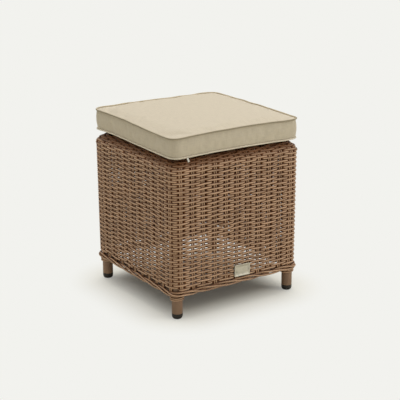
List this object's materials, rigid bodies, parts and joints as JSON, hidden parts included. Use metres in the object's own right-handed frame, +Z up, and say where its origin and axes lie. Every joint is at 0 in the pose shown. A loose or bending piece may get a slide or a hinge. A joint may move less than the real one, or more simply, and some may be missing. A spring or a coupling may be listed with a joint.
{
  "type": "outdoor ottoman footstool",
  "caption": "Square woven wicker footstool on four short round legs, with a loose piped box cushion on top.",
  "frame": {"origin": "on the floor under the middle of the body", "axes": "+Z up, front towards -Y, +X to the right as seen from the front"},
  "size_m": [0.402, 0.4065, 0.4855],
  "materials": {
    "powder_coat": "satin",
    "wicker": "satin",
    "foot_plastic": "satin",
    "plate_metal": "satin",
    "cover_cloth": "matte",
    "foam": "matte",
    "piping_cloth": "matte",
    "tag_cloth": "satin",
    "zip_tape": "matte",
    "zip_metal": "satin"
  },
  "bodies": {
    "body": {"leg_front_left": "powder_coat", "leg_front_right": "powder_coat", "leg_rear_right": "powder_coat", "leg_rear_left": "powder_coat", "foot_cap_front_left": "foot_plastic", "foot_cap_front_right": "foot_plastic", "foot_cap_rear_right": "foot_plastic", "foot_cap_rear_left": "foot_plastic", "leg_collar_front_left": "wicker", "leg_collar_front_right": "wicker", "leg_collar_rear_right": "wicker", "leg_collar_rear_left": "wicker", "top_rail_front": "powder_coat", "top_rail_right": "powder_coat", "top_rail_rear": "powder_coat", "top_rail_left": "powder_coat", "bottom_rail_front": "powder_coat", "bottom_rail_right": "powder_coat", "bottom_rail_rear": "powder_coat", "bottom_rail_left": "powder_coat", "seat_bar_1": "powder_coat", "seat_bar_2": "powder_coat", "seat_bar_3": "powder_coat", "woven_wall": "wicker", "woven_seat": "wicker", "border_braid": "wicker", "front_plate": "plate_metal"},
    "cushion": {"cushion_cover": "cover_cloth", "foam_core": "foam", "piping_top": "piping_cloth", "piping_bottom": "piping_cloth", "seam_tag": "tag_cloth", "zip_chain": "zip_tape"},
    "slider": {"zip_slider": "zip_metal"},
    "pull": {"zip_pull": "zip_metal"}
  },
  "joints": [
    {"name": "cushion_lift", "type": "slide", "parent": "body", "child": "cushion", "axis": [0, 0, 1], "range_m": [0, 0.15]},
    {"name": "zip_slide", "type": "slide", "parent": "cushion", "child": "slider", "axis": [1, 0, 0], "range_m": [0, 0.27]},
    {"name": "pull_flip", "type": "hinge", "parent": "slider", "child": "pull", "pos_m": [-0.135, 0.2025, 0.4526], "axis": [0, 0, -1], "range_deg": [0, 180]}
  ]
}
